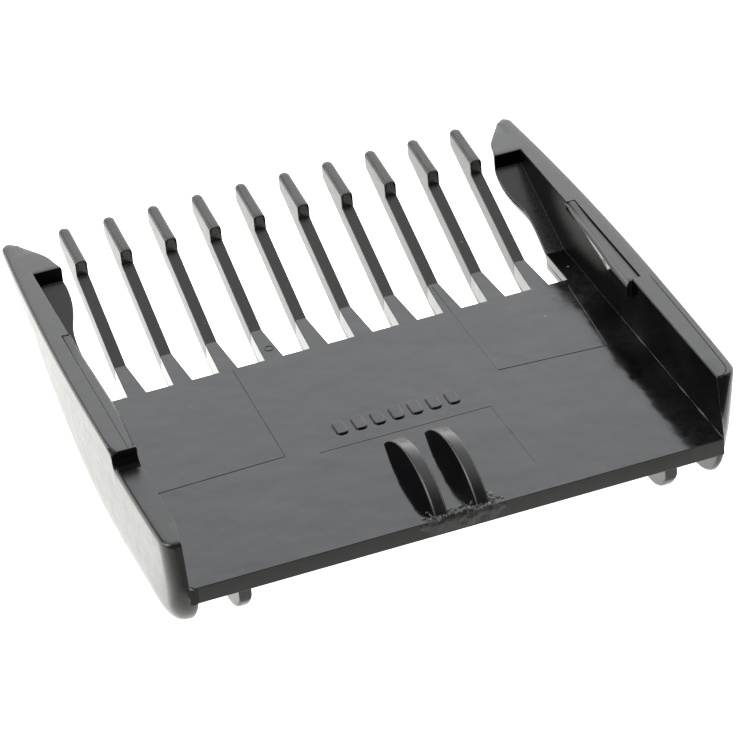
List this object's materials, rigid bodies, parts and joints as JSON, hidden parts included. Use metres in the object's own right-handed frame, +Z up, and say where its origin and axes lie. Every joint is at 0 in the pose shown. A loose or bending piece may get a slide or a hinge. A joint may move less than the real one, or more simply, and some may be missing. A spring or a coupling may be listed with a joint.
{
  "type": "clipper guard comb",
  "caption": "Clip-on guard comb for a hair clipper: a flat plate between side walls, slotted at the front into rising runner tines that hold the blade off the skin.",
  "frame": {"origin": "middle of the bounding box in plan, at the lowest line of the runners", "axes": "+X across the comb, +Y from the open rear edge to the tine tips, +Z up from the runners to the blade seat"},
  "size_m": [0.0488, 0.0472, 0.011],
  "materials": {
    "black_abs": "semi-gloss moulded black ABS",
    "cut_abs": "rough, where the moulding gate was trimmed off"
  },
  "bodies": {
    "root": {"base_plate": "black_abs", "tine_01": "black_abs", "tine_02": "black_abs", "tine_03": "black_abs", "tine_04": "black_abs", "tine_05": "black_abs", "tine_06": "black_abs", "tine_07": "black_abs", "tine_08": "black_abs", "tine_09": "black_abs", "tine_10": "black_abs", "left_edge_tine": "black_abs", "right_edge_tine": "black_abs", "left_side_wall": "black_abs", "right_side_wall": "black_abs", "left_guide_lip": "black_abs", "right_guide_lip": "black_abs", "left_latch_fin": "black_abs", "right_latch_fin": "black_abs", "gate_stub": "cut_abs"}
  },
  "joints": []
}
